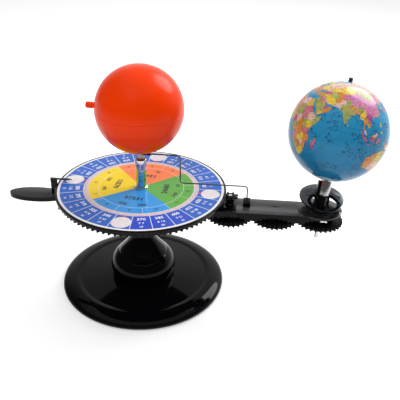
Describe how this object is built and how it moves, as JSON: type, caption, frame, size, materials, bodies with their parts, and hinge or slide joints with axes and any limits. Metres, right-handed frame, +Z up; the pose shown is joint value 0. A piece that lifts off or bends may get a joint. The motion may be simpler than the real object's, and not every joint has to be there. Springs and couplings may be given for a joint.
{
  "type": "geared sun and earth orbit model",
  "caption": "Black stand with a round dial and a geared arm that carries a tilted, spinning Earth globe round an orange Sun ball.",
  "frame": {"origin": "centre of the base's underside, on the central axis", "axes": "+Z up, +X along the arm from the Sun towards the Earth, +Y away from the viewer"},
  "size_m": [0.4078, 0.186, 0.258],
  "materials": {
    "black_enamel": "deep gloss black enamel",
    "felt": "black felt",
    "steel": "turned bright steel",
    "brass": "plain turned brass",
    "black_plastic": "glossy moulded black plastic",
    "dial_paper": "glossy printed sheet, blue ring round a disc of four colours",
    "chrome": "polished chrome plate",
    "red_plastic": "dark red gloss",
    "rubber": "black drive belt",
    "dark_wire": "dark drawn wire",
    "white_plastic": "white moulded plastic",
    "sun_orange": "glossy orange lacquer over a yellow glow",
    "globe_print": "glossy printed political map, blue sea and coloured lands, no lettering"
  },
  "bodies": {
    "root": {"base_disc": "black_enamel", "base_pad": "felt", "column": "black_enamel", "tie_washer": "steel", "tie_nut": "steel", "spindle": "steel", "thrust_washer": "steel", "fixed_pulley": "brass", "arm_retainer": "steel", "ring_gear": "black_plastic", "gear_grub_screw": "steel", "dial_plate": "black_plastic", "dial_print": "dial_paper", "dial_flange": "black_plastic", "sun_post": "chrome", "post_collar": "red_plastic"},
    "arm": {"arm_beam": "black_plastic", "arm_cover": "black_plastic", "cover_screws": "steel", "hub_bushes": "brass", "shaft_bushes": "brass", "bearing_saddle": "black_plastic", "bearing_dish": "black_plastic", "bearing_collar": "chrome", "idler_stud": "dark_wire", "idler_clip": "steel", "belt": "rubber", "handle": "black_plastic", "handle_screws": "steel", "pointer_post": "black_plastic", "pointer": "black_plastic", "end_clip": "chrome", "wire_socket": "black_plastic", "wire_crank": "dark_wire", "wire_sleeve": "black_plastic", "sun_neck": "white_plastic", "sun_lower_half": "sun_orange", "sun_upper_half": "sun_orange", "sun_peg": "sun_orange"},
    "drive_1": {"pinion": "black_plastic", "shaft_1": "steel", "gear_1": "black_plastic"},
    "drive_2": {"gear_2": "black_plastic"},
    "drive_3": {"gear_3": "black_plastic", "shaft_3": "steel", "crown_lower": "black_plastic"},
    "carrier": {"carrier_hub": "brass", "carrier_pulley": "brass", "carrier_disc": "black_plastic", "stage_posts": "black_plastic", "stage_plate": "black_plastic", "stage_ring": "black_plastic", "axis_bracket": "black_plastic", "axis_sleeve": "chrome"},
    "globe": {"crown_upper": "black_plastic", "globe_axle": "steel", "globe_south": "globe_print", "globe_north": "globe_print", "top_pin": "dark_wire"}
  },
  "joints": [
    {"name": "arm_revolve", "type": "hinge", "parent": "root", "child": "arm", "pos_m": [0, 0, 0.1], "axis": [0, 0, 1], "continuous": true},
    {"name": "pinion_spin", "type": "hinge", "parent": "arm", "child": "drive_1", "pos_m": [0.0969, 0, 0.1], "axis": [0, 0, 1], "continuous": true},
    {"name": "idler_spin", "type": "hinge", "parent": "arm", "child": "drive_2", "pos_m": [0.1458, 0, 0.1], "axis": [0, 0, 1], "continuous": true},
    {"name": "drive_spin", "type": "hinge", "parent": "arm", "child": "drive_3", "pos_m": [0.1947, 0, 0.1], "axis": [0, 0, 1], "continuous": true},
    {"name": "carrier_turn", "type": "hinge", "parent": "arm", "child": "carrier", "pos_m": [0.1947, 0, 0.1], "axis": [0, 0, 1], "continuous": true},
    {"name": "globe_spin", "type": "hinge", "parent": "carrier", "child": "globe", "pos_m": [0.1947, 0, 0.1117], "axis": [0.1552, 0.3656, 0.9178], "continuous": true}
  ],
  "couplings": [
    {"joint": "pinion_spin", "follows": "arm_revolve", "ratio": 11.5},
    {"joint": "idler_spin", "follows": "arm_revolve", "ratio": -11.5},
    {"joint": "drive_spin", "follows": "arm_revolve", "ratio": 11.5},
    {"joint": "carrier_turn", "follows": "arm_revolve", "ratio": -1},
    {"joint": "globe_spin", "follows": "arm_revolve", "ratio": 12.5}
  ]
}
